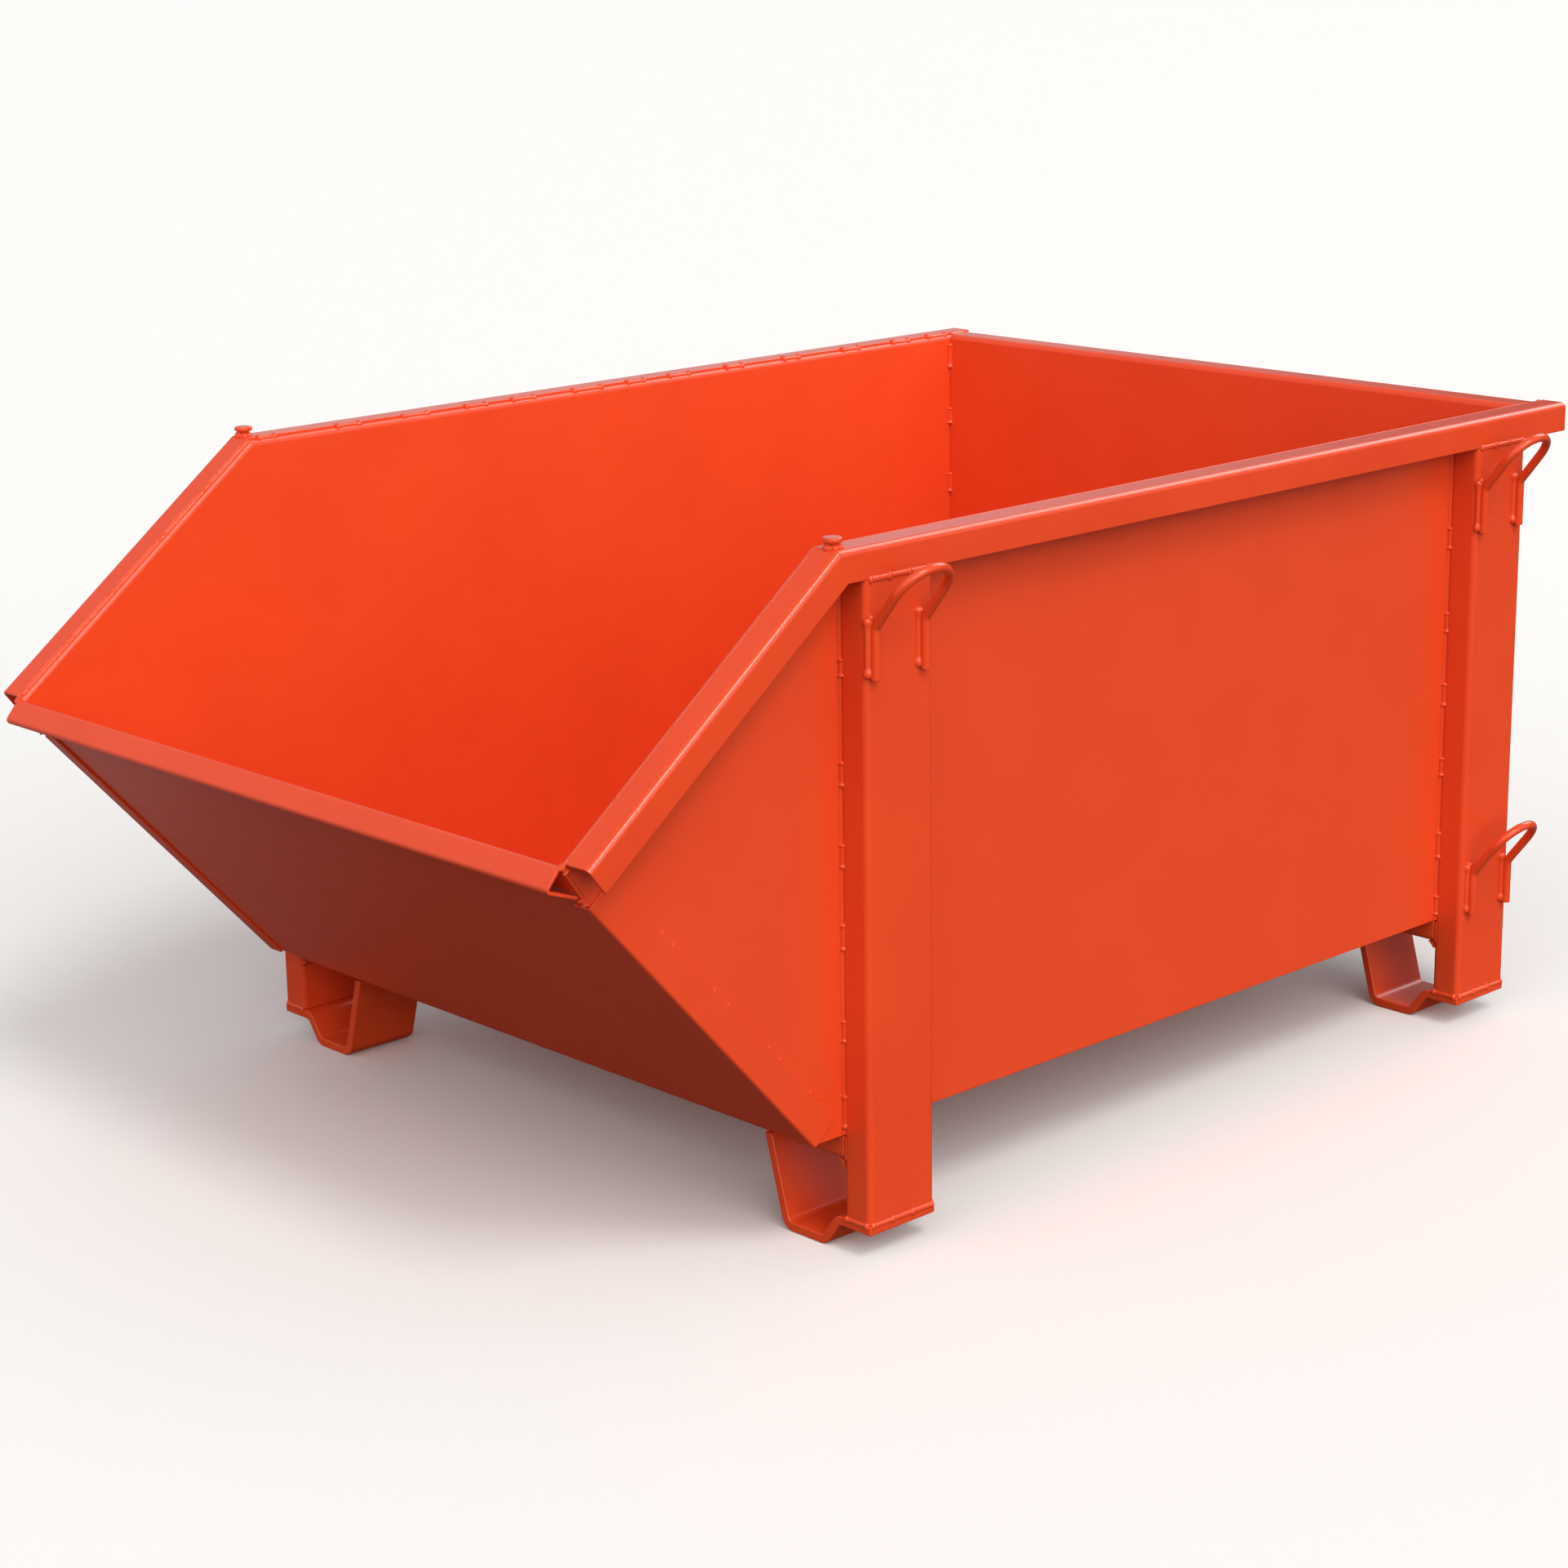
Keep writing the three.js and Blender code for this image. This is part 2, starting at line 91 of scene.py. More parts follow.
def new_material(name):
    material = bpy.data.materials.new(name)
    material.use_nodes = True
    material.node_tree.nodes.clear()
    return material


def gloss_enamel(name, full_coat, thin_coat, roughness, peel_mm, peel_depth_mm, wave_depth_mm):
    """Alkyd enamel sprayed on steel: a strong even colour, a clear gloss, and a fine orange peel
    that breaks up what it mirrors."""
    material = new_material(name)
    tree = material.node_tree
    place = node(tree, "TexCoord").outputs["Object"]
    drift = node(tree, "TexNoise", Vector=place, Scale=1 / DRIFT_SIZE, Detail=3.0, Roughness=0.55)
    coat = node(tree, "ValToRGB", Fac=drift.outputs["Fac"])
    for stop, position, code in ((0, 0.3, thin_coat), (1, 0.62, full_coat)):
        coat.color_ramp.elements[stop].position = position
        coat.color_ramp.elements[stop].color = linear(code)
    # the gloss varies with the passes of the spray gun
    passes = node(tree, "TexNoise", Vector=place, Scale=1 / PASS_SIZE, Detail=2.0)
    sheen = node(tree, "MapRange", Value=passes.outputs["Fac"],
                 To_Min=roughness - 0.04, To_Max=roughness + 0.05)
    peel = node(tree, "TexNoise", Vector=place, Scale=1000 / peel_mm, Detail=1.0)
    wave = node(tree, "TexNoise", Vector=place, Scale=1 / WAVE_SIZE, Detail=0.0)
    waves = node(tree, "Bump", Height=wave.outputs["Fac"], Strength=1.0, Distance=wave_depth_mm / 1000)
    skin = node(tree, "Bump", Height=peel.outputs["Fac"], Strength=1.0, Distance=peel_depth_mm / 1000,
                Normal=waves.outputs["Normal"])
    paint = node(tree, "BsdfPrincipled", Base_Color=coat.outputs["Color"], Metallic=0.0, IOR=1.48,
                 Roughness=sheen.outputs["Result"], Normal=skin.outputs["Normal"])
    node(tree, "OutputMaterial", Surface=paint.outputs["BSDF"])
    return material


def only(piece):
    bpy.ops.object.select_all(action="DESELECT")
    bpy.context.view_layer.objects.active = piece
    piece.select_set(True)


def join(pieces):
    only(pieces[0])
    for piece in pieces[1:]:
        piece.select_set(True)
    if len(pieces) > 1:
        bpy.ops.object.join()
    return pieces[0]


def copy_of(pattern, name):
    copy = bpy.data.objects.new(name, pattern.data.copy())
    bpy.context.scene.collection.objects.link(copy)
    return copy


def deselect_parts(piece):
    for part in (*piece.data.vertices, *piece.data.edges, *piece.data.polygons):
        part.select = False


def apply_all(piece):
    only(piece)
    for modifier in list(piece.modifiers):
        bpy.ops.object.modifier_apply(modifier=modifier.name)


def round_edges(piece, radius, sharper_than=40, segments=3):
    bevel = piece.modifiers.new("rounded edges", "BEVEL")
    bevel.width = radius
    bevel.segments = segments
    bevel.limit_method = "ANGLE"
    bevel.angle_limit = radians(sharper_than)
    bevel.use_clamp_overlap = False
    flat = piece.modifiers.new("flat faces stay flat", "WEIGHTED_NORMAL")
    flat.keep_sharp = False
    piece.data.shade_smooth()
    apply_all(piece)


def bare_copy(*sources):
    """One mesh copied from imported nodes, with its triangles merged into whole faces."""
    piece = join([copy_of(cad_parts[source], source + "_painted") for source in sources])
    bpy.ops.object.mode_set(mode="EDIT")
    bpy.ops.mesh.select_all(action="SELECT")
    bpy.ops.mesh.remove_doubles(threshold=SAME_PLACE)
    bpy.ops.mesh.dissolve_limited(angle_limit=radians(1))
    bpy.ops.object.mode_set(mode="OBJECT")
    return piece


def finish_piece(piece, paint, slot, *stands_for):
    piece.data.materials.clear()
    piece.data.materials.append(paint)
    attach(piece, "root")
    if stands_for:
        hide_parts(*stands_for)


def lower_hem(piece):
    """Moves the hem down from the rim, square to level and slope, so the rim's toe shows as a step."""
    for vertex in piece.data.vertices:
        below_level = rim_top - vertex.co.z
        below_slope = (turn - vertex.co).dot(slope_upright)
        nearer, farther = sorted((below_level, below_slope))
        if nearer < HEM_DEPTH and farther < HEM_DEPTH + SHEET:
            vertex.co += Vector((0, HEM_DROP * tan(SLOPE_ANGLE / 2), -HEM_DROP))
        elif below_level < HEM_DEPTH:
            vertex.co.z -= HEM_DROP
        elif below_slope < HEM_DEPTH:
            vertex.co -= slope_upright * HEM_DROP


sheet_enamel = gloss_enamel("sheet_gloss_enamel", "#E64A22", "#E24720", roughness=0.3,
                            peel_mm=5, peel_depth_mm=0.03, wave_depth_mm=0.15)

for sheet in ("side_sheet_right", "side_sheet_left", "back_sheet", "floor_sheet", "front_sheet"):
    painted = bare_copy(sheet)
    if sheet == "side_sheet_left":
        lower_hem(painted)
    if sheet.startswith("side"):
        # these hems keep a crisp line where they turn down the slope
        round_edges(painted, SHEET_EDGE, sharper_than=TURN_SHARPNESS)
    else:
        round_edges(painted, SHEET_EDGE)
    finish_piece(painted, sheet_enamel, "sheet_paint", sheet)


# Stitch welds of the tub
# The sheets are held by short runs of MIG weld about 110 mm apart, painted over. Each run is a row
# of overlapping scales with a thicker blob where it starts and stops. One run is modelled and
# copied, and chance turns some copies end for end and changes their width and place a little.

RUN_LENGTH = 0.036
RUN_WIDTH = 0.0085
RUN_SIDES = 12
RUN_FLATNESS = 0.74        # height of a run, as a share of its width
RUN_TIP = 0.3              # width of its very end, as a share
SCALES = 7
SCALE_DIP = 0.86           # width between two scales, as a share
BLOB_RINGS = [(0.006, 0.75), (0.022, 1.12), (0.05, 1.34), (0.09, 1.38), (0.13, 1.15)]
DROP_WIDTH = 0.007
DROP_SPREAD = 1.3          # the half that wets the plate is wider and flatter
DROP_FLATNESS = 0.7
UNEVEN = 0.1               # a copy is wider or narrower by up to this share
STRAY = 0.0003             # and lies up to this far beside the joint

ROOT = 0.0014              # from the tub's inner corner to the middle of its runs
UPRIGHT_RUN_WIDTH = 0.009
SIDE_RUNS = 12
SIDE_PITCH = 0.115
SIDE_BEGIN = 0.060         # first run of each side, behind the floor's front end
BACK_RUNS = 10
BACK_PITCH = 0.1105

# painted weld: the same enamel, a little glossier, with a finer peel
weld_enamel = gloss_enamel("enamel_over_weld", "#E84E26", "#DE441D", roughness=0.18,
                           peel_mm=3, peel_depth_mm=0.02, wave_depth_mm=0.0)


def extrude(step):
    bpy.ops.mesh.extrude_region_move(TRANSFORM_OT_translate={"value": step})


def melt(piece):
    round_off = piece.modifiers.new("molten metal", "SUBSURF")
    round_off.levels = round_off.render_levels = 1
    piece.data.shade_smooth()
    apply_all(piece)


def model_weld_run():
    """A run that stands on Z = 0. A ring is given by its place and width, as shares of the run's."""
    blob_end = BLOB_RINGS[-1][0]
    rings = list(BLOB_RINGS)
    for number in range(1, 2 * SCALES):
        place = blob_end + (1 - 2 * blob_end) * number / (2 * SCALES)
        rings.append((place, SCALE_DIP if number % 2 else 1.0))
    for place, width in reversed(BLOB_RINGS):
        rings.append((1 - place, width))
    rings.append((1.0, RUN_TIP))
    bpy.ops.object.select_all(action="DESELECT")
    bpy.ops.mesh.primitive_circle_add(vertices=RUN_SIDES, radius=RUN_WIDTH / 2, fill_type="NGON")
    bpy.ops.object.mode_set(mode="EDIT")
    bpy.ops.mesh.select_all(action="SELECT")
    bpy.ops.transform.resize(value=(RUN_TIP, RUN_TIP, 1), center_override=(0, 0, 0))
    last_place, last_width = 0.0, RUN_TIP
    for place, width in rings:
        wider = width / last_width
        extrude((0, 0, (place - last_place) * RUN_LENGTH))
        bpy.ops.transform.resize(value=(wider, wider, 1), center_override=(0, 0, place * RUN_LENGTH))
        last_place, last_width = place, width
    bpy.ops.mesh.select_all(action="SELECT")
    bpy.ops.transform.resize(value=(1, RUN_FLATNESS, 1), center_override=(0, 0, 0))
    bpy.ops.mesh.normals_make_consistent(inside=False)
    bpy.ops.object.mode_set(mode="OBJECT")
    run = bpy.context.object
    melt(run)
    return run


def model_weld_drop():
    """A drop of weld metal with its middle at the origin. Its lower half wets the plate."""
    bpy.ops.object.select_all(action="DESELECT")
    bpy.ops.mesh.primitive_uv_sphere_add(segments=12, ring_count=8, radius=DROP_WIDTH / 2)
    drop = bpy.context.object
    deselect_parts(drop)
    for vertex in drop.data.vertices:
        vertex.select = vertex.co.z < -SAME_PLACE
    bpy.ops.object.mode_set(mode="EDIT")
    bpy.ops.mesh.select_mode(type="VERT")
    bpy.ops.transform.resize(value=(DROP_SPREAD, DROP_SPREAD, DROP_FLATNESS), center_override=(0, 0, 0))
    bpy.ops.object.mode_set(mode="OBJECT")
    melt(drop)
    return drop


weld_run = model_weld_run()
weld_drop = model_weld_drop()
hand = random.Random(31)


def lay_run(runs, start, end, outward, width=RUN_WIDTH):
    """One copy of the run from start to end. Outward points away from the joint."""
    start, end = Vector(start), Vector(end)
    if hand.random() < 0.5:
        start, end = end, start
    along = (end - start).normalized()
    out = (Vector(outward) - along * along.dot(Vector(outward))).normalized()
    across = out.cross(along)
    wide = width / RUN_WIDTH * hand.uniform(1 - UNEVEN, 1 + UNEVEN)
    long = (end - start).length / RUN_LENGTH
    place = start + across * hand.uniform(-STRAY, STRAY)
    axes = Matrix((across * wide, out * wide, along * long)).transposed()
    copy = copy_of(weld_run, "run")
    copy.data.transform(Matrix.Translation(place) @ axes.to_4x4())
    runs.append(copy)


def lay_bead(runs, start, end, outward, width=RUN_WIDTH):
    """A longer bead of runs that overlap by a scale."""
    start, end = Vector(start), Vector(end)
    count = max(1, round((end - start).length / RUN_LENGTH))
    lap = (end - start).normalized() * RUN_LENGTH / SCALES / 2
    for number in range(count):
        first = start.lerp(end, number / count) - lap
        last = start.lerp(end, (number + 1) / count) + lap
        lay_run(runs, first, last, outward, width)


def lay_drop(runs, place, outward, scale=1.0):
    upright = Vector(outward).to_track_quat("Z", "Y").to_matrix().to_4x4()
    copy = copy_of(weld_drop, "drop")
    copy.data.transform(Matrix.Translation(place) @ upright @ Matrix.Scale(scale, 4))
    runs.append(copy)


def join_runs(runs, name, slot):
    welds = join(runs)
    welds.name = welds.data.name = name
    finish_piece(welds, weld_enamel, slot)


floor_low, floor_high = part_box("floor_sheet")
inner_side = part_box("side_sheet_right")[0].x
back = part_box("back_sheet")[0].y - ROOT
above_floor = floor_high.z + ROOT

# heights of the runs between back and side, as seen on the left
upright_runs = [(0.8253, 0.8664), (0.7337, 0.7608), (0.6196, 0.6527), (0.513, 0.547), (0.405, 0.440),
                (0.297, 0.331), (0.190, 0.224)]
for side, facing in SIDES:
    runs = []
    corner = facing * (inner_side - ROOT)
    for low, high in upright_runs:
        lay_run(runs, (corner, back, low), (corner, back, high), (-facing, -1, 0), UPRIGHT_RUN_WIDTH)
    for number in range(SIDE_RUNS):
        near = floor_low.y + SIDE_BEGIN + number * SIDE_PITCH
        lay_run(runs, (corner, near, above_floor), (corner, near + RUN_LENGTH, above_floor),
                (-facing, 0, 1))
    join_runs(runs, "inside_stitches_" + side, "sheet_paint")

# along the back the first run begins one run's length in from the side
runs = []
for number in range(BACK_RUNS):
    left = RUN_LENGTH - inner_side + number * BACK_PITCH
    lay_run(runs, (left, back, above_floor), (left + RUN_LENGTH, back, above_floor), (0, -1, 1))
join_runs(runs, "inside_stitches_back", "sheet_paint")


# Edge angles of the chute
# A folded 3 mm angle over each joint of side sheet and front sheet. Its long leg lies on the
# side sheet and is stitched along its edge, at the places that the photograph shows.

ANGLE_EDGE = 0.0006        # radius of its cut edges
ANGLE_LEG = 0.044
ANGLE_WALL = 0.003
ANGLE_RUN_WIDTH = 0.006
ANGLE_RUN_OUT = 0.0003     # from the side sheet's outer face to the middle of a run
FRONT_ANGLE = radians(47.8)
TIP_AHEAD = 0.048          # the chute's lower end, ahead of the front posts

chute_up = Vector((0, -cos(FRONT_ANGLE), sin(FRONT_ANGLE)))
chute_inward = Vector((0, sin(FRONT_ANGLE), cos(FRONT_ANGLE)))
outer_side = inner_side + SHEET
angle_runs = ((0.028, 0.060), (0.128, 0.158), (0.247, 0.283), (0.371, 0.399))


def beside_chute(facing, out, up, inward):
    """A place measured from the chute's lower end on the side sheet's outer face."""
    tip = Vector((facing * (outer_side + out), turn.y + BEND_AHEAD - TIP_AHEAD, floor_low.z))
    return tip + chute_up * up + chute_inward * inward


for side, facing in SIDES:
    angle = "edge_angle_" + side
    painted = bare_copy(angle)
    round_edges(painted, ANGLE_EDGE)
    finish_piece(painted, sheet_enamel, "sheet_paint", angle)
    runs = []
    for low, high in angle_runs:
        start, end = (beside_chute(facing, ANGLE_RUN_OUT, up, ANGLE_LEG - ANGLE_WALL) for up in (low, high))
        lay_run(runs, start, end, (facing, 0.4, 0.4), ANGLE_RUN_WIDTH)
    join_runs(runs, "edge_stitches_" + side, "sheet_paint")


# Rims
# 40 x 40 x 4 mm angle along both sides and across the back. Each side rim is cut on a mitre where
# it turns down the slope, welded and ground flush, so level and slope are one skin here.

RIM_EDGE = 0.0011          # radius of the cut edges and of the mitre's outer line
MITRE_REACH = 0.0004       # vertices nearer to the mitre's plane than this are its cut ends

rim_enamel = gloss_enamel("section_gloss_enamel", "#E64A22", "#E14620", roughness=0.2,
                          peel_mm=5, peel_depth_mm=0.02, wave_depth_mm=0.1)


def close_mitre(piece):
    """Welds the two cut ends at the turn together and takes out the faces between them."""
    forward = Vector((0, cos(SLOPE_ANGLE / 2), sin(SLOPE_ANGLE / 2)))

    def is_cut(vertex):
        return abs((vertex.co - turn).dot(forward)) < MITRE_REACH

    only(piece)
    deselect_parts(piece)
    for vertex in piece.data.vertices:
        vertex.select = is_cut(vertex)
    bpy.ops.object.mode_set(mode="EDIT")
    bpy.ops.mesh.select_mode(type="VERT")
    bpy.ops.mesh.remove_doubles(threshold=0.0005)
    bpy.ops.mesh.select_all(action="DESELECT")
    bpy.ops.object.mode_set(mode="OBJECT")
    for face in piece.data.polygons:
        face.select = all(is_cut(piece.data.vertices[number]) for number in face.vertices)
    bpy.ops.object.mode_set(mode="EDIT")
    bpy.ops.mesh.select_mode(type="FACE")
    bpy.ops.mesh.delete(type="ONLY_FACE")
    bpy.ops.mesh.select_mode(type="VERT")
    bpy.ops.object.mode_set(mode="OBJECT")


for side in ("right", "left"):
    nodes = ("rim_level_" + side, "rim_sloped_" + side)
    rim = bare_copy(*nodes)
    close_mitre(rim)
    round_edges(rim, RIM_EDGE, sharper_than=TURN_SHARPNESS)
    rim.name = rim.data.name = "rim_side_" + side
    finish_piece(rim, rim_enamel, "section_paint", *nodes)

back_rim = bare_copy("rim_back")
round_edges(back_rim, RIM_EDGE)
finish_piece(back_rim, rim_enamel, "section_paint", "rim_back")


# Welds of the rims
# Stitches bridge the groove between the lowered left hem and its rim, at the places that the
# photograph shows. Down both slopes the groove is closed by one long smooth bead, ground down to
# the rim, that ends in a blob on the lip. Beads join the back rim to the side rims.

GROOVE_INSIDE = 0.0001     # middle of the groove, inside the rim's toe
HEM_RUN_WIDTH = 0.0116
HEM_RUN_DEPTH = 0.0028     # the run's middle, below the rim's top
SLOPE_BEAD_WIDTH = 0.0074
SLOPE_BEAD_DEPTH = 0.0034
SLOPE_BEAD_LENGTH = 0.478
SLOPE_BEAD_RUNS = 5
SLOPE_RUN_BEGIN = 0.001    # a run begins this far past its place, and ends this far past the next
SLOPE_RUN_END = 0.004
LIP_BLOB_LENGTH = 0.010
RIM_WALL = 0.004
BACK_BEAD_WIDTH = 0.007
BACK_BEAD_DEPTH = 0.0005
BACK_BEAD_BEGIN = 0.002    # from the hem of the back sheet
BACK_BEAD_END = 0.003      # short of the back rim's rear face

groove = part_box("rim_level_right")[0].x - GROOVE_INSIDE
hem_runs = [(-0.500, -0.4686), (-0.3671, -0.3231), (-0.251, -0.2012), (-0.1372, -0.0949),
            (-0.0506, -0.0043), (0.0648, 0.1254), (0.1722, 0.2090), (0.2560, 0.3020), (0.3740, 0.4120),
            (0.4960, 0.5330), (0.6260, 0.6660), (0.7390, 0.7800), (0.8200, 0.8660)]
runs = []
for near, far in hem_runs:
    height = rim_top - HEM_RUN_DEPTH
    lay_run(runs, (-groove, near, height), (-groove, far, height), (0, 0, 1), HEM_RUN_WIDTH)
join_runs(runs, "hem_stitches_left", "section_paint")

slope_down = Vector((0, -cos(SLOPE_ANGLE), -sin(SLOPE_ANGLE)))
slope_step = SLOPE_BEAD_LENGTH / SLOPE_BEAD_RUNS
# One blob lies on the lip's upper fold, and one holds the lip's flange and the angle's upper end.
# Each has its place beside the chute, where it faces along Y and Z, and its width.
lip_blobs = (((0.0022, 0.5657, 0.0089), (-0.3, 0.3), 0.0100),
             ((0.0012, 0.5150, -0.0021), (-0.7, -0.7), 0.0068))
for side, facing in SIDES:
    runs = []
    begin = Vector((facing * groove, turn.y, turn.z)) - slope_upright * SLOPE_BEAD_DEPTH
    for number in range(SLOPE_BEAD_RUNS):
        start = begin + slope_down * (slope_step * number + SLOPE_RUN_BEGIN)
        end = begin + slope_down * (slope_step * (number + 1) + SLOPE_RUN_END)
        lay_run(runs, start, end, slope_upright, SLOPE_BEAD_WIDTH)
    for place, faces, width in lip_blobs:
        start = beside_chute(facing, *place)
        lay_run(runs, start, start + chute_up * LIP_BLOB_LENGTH, (facing, *faces), width)
    join_runs(runs, "slope_welds_" + side, "section_paint")

runs = []
back_low, back_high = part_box("rim_back")
for facing in (1, -1):
    across = facing * groove
    top = back_high.z - BACK_BEAD_DEPTH
    lay_bead(runs, (across, back_low.y + BACK_BEAD_BEGIN, top), (across, back_high.y - BACK_BEAD_END, top),
             (-facing * 0.3, 0, 1), BACK_BEAD_WIDTH)
    lay_bead(runs, (across, back_high.y, back_low.z + RIM_WALL),
             (across, back_high.y, back_high.z - RIM_WALL), (0, 1, 0), BACK_BEAD_WIDTH)
join_runs(runs, "rim_corner_welds", "section_paint")


# Posts
# Four rectangular tubes, 112 x 45 x 4 mm, welded under the rims and onto the foot strips with a
# full bead, and stitched to the side sheets along both rounded corners. Paint has run into the
# grooves there and fills most of them.

POST_EDGE = 0.0008         # radius of a sawn edge
POST_CORNER = 0.008        # outside radius of the tube
STITCH_OUT = 0.0022        # from the tube's inner face to the middle of a stitch
STITCH_IN = 0.0015         # and from its front or rear face
FILLER_SIZE = 0.0036       # from the middle of the square strip of paint to its corners
FILLER_OUT = 0.0001
FILLER_IN = 0.0020
FILLER_EDGE = 0.0006
FILLER_ABOVE_FLOOR = 0.001
FILLER_BELOW_TOP = 0.0005
RIM_BEAD_WIDTH = 0.0074
RIM_BEAD_IN = 0.0004       # the bead's middle, inside the tube's outer face
FOOT_BEAD_WIDTH = 0.0072
FOOT_BEAD_IN = 0.0006
FOOT_BEAD_SHORT = 0.005    # the outer bead ends this far from the tube's front and rear faces
END_BEAD_SHORT = 0.006     # the beads on those faces end this far from the tube's outer face
END_BEAD_CLEAR = 0.004     # and this far from the inner one
BEAD_LIFT = 0.0002         # beads stand clear of the tube's ends by this much

post_low, post_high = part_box("post_front_right")
outer = post_high.x
inner = post_low.x
post_stitches = {
    "front": ((0.7216, 0.744), (0.5885, 0.6203), (0.4885, 0.5196), (0.3861, 0.4207),
              (0.2709, 0.2999), (0.1603, 0.2054)),
    "rear": ((0.6953, 0.7277), (0.5762, 0.6062), (0.4698, 0.5046), (0.3675, 0.3958),
             (0.2448, 0.2861), (0.1604, 0.1914)),
}


def upright_bar(sides, radius, across, along, bottom, top):
    """A plain bar that stands at X = across and Y = along."""
    bpy.ops.object.select_all(action="DESELECT")
    bpy.ops.mesh.primitive_cylinder_add(vertices=sides, radius=radius, depth=top - bottom,
                                        location=(across, along, (bottom + top) / 2))
    bpy.ops.object.transform_apply(location=True)
    return bpy.context.object


def stitch_post(runs, facing, low, high, heights):
    across = facing * (inner + STITCH_OUT)
    for bottom, top in heights:
        for edge, away in ((low.y + STITCH_IN, -1), (high.y - STITCH_IN, 1)):
            lay_run(runs, (across, edge, bottom), (across, edge, top), (facing, away * 1.6, 0))


def fill_grooves(runs, facing, low, high):
    for edge in (low.y + FILLER_IN, high.y - FILLER_IN):
        filler = upright_bar(4, FILLER_SIZE, facing * (inner + FILLER_OUT), edge,
                             floor_low.z + FILLER_ABOVE_FLOOR, high.z - FILLER_BELOW_TOP)
        round_edges(filler, FILLER_EDGE, segments=2)
        runs.append(filler)


def bead_below_rim(runs, facing, low, high):
    across = facing * (outer - RIM_BEAD_IN)
    height = high.z + BEAD_LIFT
    lay_bead(runs, (across, low.y + POST_CORNER, height), (across, high.y - POST_CORNER, height),
             (facing, 0, 0.1), RIM_BEAD_WIDTH)


def bead_round_foot(runs, facing, low, high):
    across = facing * (outer - FOOT_BEAD_IN)
    height = low.z - BEAD_LIFT
    lay_bead(runs, (across, low.y + FOOT_BEAD_SHORT, height), (across, high.y - FOOT_BEAD_SHORT, height),
             (facing, 0, 0.2), FOOT_BEAD_WIDTH)
    for edge, away in ((low.y + FOOT_BEAD_IN, -1), (high.y - FOOT_BEAD_IN, 1)):
        lay_bead(runs, (facing * (outer - END_BEAD_SHORT), edge, height),
                 (facing * (inner + END_BEAD_CLEAR), edge, height), (0, away, 0.2), FOOT_BEAD_WIDTH)


for end in ("front", "rear"):
    for side, facing in SIDES:
        post = "post_" + end + "_" + side
        painted = bare_copy(post)
        round_edges(painted, POST_EDGE)
        finish_piece(painted, rim_enamel, "section_paint", post)
        low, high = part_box(post)
        runs = []
        stitch_post(runs, facing, low, high, post_stitches[end])
        fill_grooves(runs, facing, low, high)
        bead_below_rim(runs, facing, low, high)
        bead_round_foot(runs, facing, low, high)
        join_runs(runs, "post_welds_" + end + "_" + side, "section_paint")


# Feet and cross members
# Each foot is a 112 mm wide strip, 12 mm thick, bent cold and welded below the post. A folded
# channel runs from post to post under the floor, with a heavy concave fillet where it meets the
# post, which rounds the corner of the opening above the foot.

FOOT_EDGE = 0.0018
MEMBER_EDGE = 0.0008
FILLET = 0.0095
FILLET_SHORT = 0.003       # the fillet is this much narrower than the strip
FILLET_HOLLOW = 0.92       # share of its section that the hollow takes
CORNER_WELD = 0.005        # radius of the weld in the groove between member and rounded tube
CORNER_WELD_OUT = 0.0032   # its middle, from the tube's inner face
CORNER_WELD_IN = 0.0052    # and from the tube's front or rear face
CORNER_WELD_EDGE = 0.0012
CORNER_WELD_SHORT = 0.002  # from its upper end to the floor's underside

foot_enamel = gloss_enamel("foot_gloss_enamel", "#E44A20", "#DA441C", roughness=0.32,
                           peel_mm=4, peel_depth_mm=0.04, wave_depth_mm=0.1)


def concave_fillet(facing, low, high, height):
    """A square bar below the member, with its free edge hollowed out."""
    middle = Vector((facing * (inner - FILLET / 2), (low.y + high.y) / 2, height - FILLET / 2))
    width = high.y - low.y - FILLET_SHORT
    bpy.ops.object.select_all(action="DESELECT")
    bpy.ops.mesh.primitive_cube_add(size=1, location=middle, scale=(FILLET, width, FILLET))
    fillet = bpy.context.object
    bpy.ops.object.transform_apply(location=True, rotation=False, scale=True)
    deselect_parts(fillet)
    for edge in fillet.data.edges:
        ends = [fillet.data.vertices[number].co - middle for number in edge.vertices]
        edge.select = all(end.x * facing < 0 and end.z < 0 for end in ends)
    bpy.ops.object.mode_set(mode="EDIT")
    bpy.ops.mesh.select_mode(type="EDGE")
    bpy.ops.mesh.bevel(offset=FILLET * FILLET_HOLLOW, segments=6, profile=0.18, clamp_overlap=False)
    bpy.ops.object.mode_set(mode="OBJECT")
    only(fillet)
    bpy.ops.object.shade_smooth_by_angle(angle=radians(35))
    return fillet


for end in ("front", "rear"):
    member = "cross_member_" + end
    painted = bare_copy(member)
    round_edges(painted, MEMBER_EDGE)
    finish_piece(painted, foot_enamel, "section_paint", member)
    member_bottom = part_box(member)[0].z
    for side, facing in SIDES:
        foot = "foot_" + end + "_" + side
        painted = bare_copy(foot)
        round_edges(painted, FOOT_EDGE)
        finish_piece(painted, foot_enamel, "section_paint", foot)
        low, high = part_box(foot)
        welds = [concave_fillet(facing, low, high, member_bottom)]
        for edge in (low.y + CORNER_WELD_IN, high.y - CORNER_WELD_IN):
            weld = upright_bar(24, CORNER_WELD, facing * (inner + CORNER_WELD_OUT), edge,
                               member_bottom, floor_low.z - CORNER_WELD_SHORT)
            round_edges(weld, CORNER_WELD_EDGE, segments=2)
            welds.append(weld)
        fillet = join(welds)
        fillet.name = fillet.data.name = "member_welds_" + end + "_" + side
        finish_piece(fillet, foot_enamel, "section_paint")


# Lifting eyes
# 12 mm round bar bent cold into a loop that leans out at 52 degrees, with two straight legs
# welded flat on the post. A bead runs down both sides of each leg and ends in a blob.

